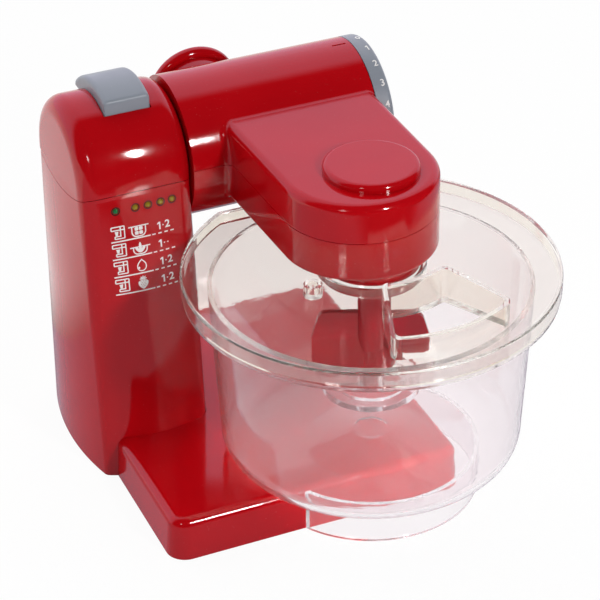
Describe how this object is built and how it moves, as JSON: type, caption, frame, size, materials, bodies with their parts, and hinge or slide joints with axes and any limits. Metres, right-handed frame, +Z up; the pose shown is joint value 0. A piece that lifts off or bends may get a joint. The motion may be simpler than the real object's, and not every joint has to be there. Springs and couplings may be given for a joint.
{
  "type": "toy food processor",
  "caption": "Toy kitchen stand mixer: a red tower with a tilting head, a clear bowl, a clear lid with feed chute, a beater, a speed dial and a release button.",
  "frame": {"origin": "on the resting face, on the beater's axis", "axes": "+Z up along the beater's axis, +X right along the head's hinge, +Y to the back"},
  "size_m": [0.2192, 0.242, 0.1978],
  "materials": {
    "red_shell": "gloss moulded",
    "clear_bowl": "clear, faint lilac",
    "clear_lid": "clear, faint yellow",
    "grey_trim": "satin",
    "base_cover": "fine grain",
    "inner_plastic": "plain moulded",
    "switch_black": "plain moulded",
    "bush_brass": "turned",
    "steel": "zinc plated",
    "board": "lacquered board",
    "lamp_green": "tinted lens",
    "lamp_amber": "tinted lens",
    "cell": "plain jacket"
  },
  "bodies": {
    "base": {"base_plate": "red_shell", "base_cover": "base_cover", "battery_door": "base_cover", "battery_door_screw": "steel", "battery_tray": "inner_plastic", "tower_body": "red_shell", "tower_cap": "red_shell", "hinge_bush": "inner_plastic", "circuit_board": "board", "bowl": "clear_bowl", "led_green": "lamp_green", "led_amber_1": "lamp_amber", "led_amber_2": "lamp_amber", "led_amber_3": "lamp_amber", "led_amber_4": "lamp_amber", "battery_1": "cell", "battery_2": "cell", "battery_3": "cell", "base_screw_1": "steel", "base_screw_2": "steel", "base_screw_3": "steel", "base_screw_4": "steel"},
    "head": {"head_lower": "red_shell", "head_upper": "red_shell", "top_cap": "red_shell", "rear_cap": "red_shell", "hinge_shaft": "inner_plastic", "hinge_clip": "steel", "latch_cam": "inner_plastic", "gear_plate": "inner_plastic", "motor": "steel", "drive_bush": "bush_brass", "speed_switch": "switch_black", "lid": "clear_lid"},
    "dial": {"speed_dial": "grey_trim"},
    "beater": {"drive_shaft": "steel", "drive_gear": "inner_plastic", "beater": "red_shell", "beater_ring": "clear_bowl"},
    "pinion": {"motor_pinion": "bush_brass"},
    "button": {"release_button": "grey_trim", "latch_bar": "inner_plastic"}
  },
  "joints": [
    {"name": "head_tilt", "type": "hinge", "parent": "base", "child": "head", "pos_m": [-0.065, 0.10001, 0.1554], "axis": [-1, 0, 0], "range_deg": [0, 40]},
    {"name": "dial_turn", "type": "hinge", "parent": "head", "child": "dial", "pos_m": [0.039, 0.10001, 0.1554], "axis": [-1, 0, 0], "range_deg": [0, 70.8]},
    {"name": "beater_spin", "type": "hinge", "parent": "head", "child": "beater", "pos_m": [0, 0, 0.146], "axis": [0, 0, 1], "continuous": true},
    {"name": "pinion_spin", "type": "hinge", "parent": "head", "child": "pinion", "pos_m": [0, 0.028, 0.146], "axis": [0, 0, 1], "continuous": true},
    {"name": "button_press", "type": "slide", "parent": "base", "child": "button", "axis": [0, 0, -1], "range_m": [0, 0.0025], "stiffness_N_per_m": 600, "springref_m": -0.0015}
  ],
  "couplings": [
    {"joint": "pinion_spin", "follows": "beater_spin", "ratio": -3.6667}
  ]
}
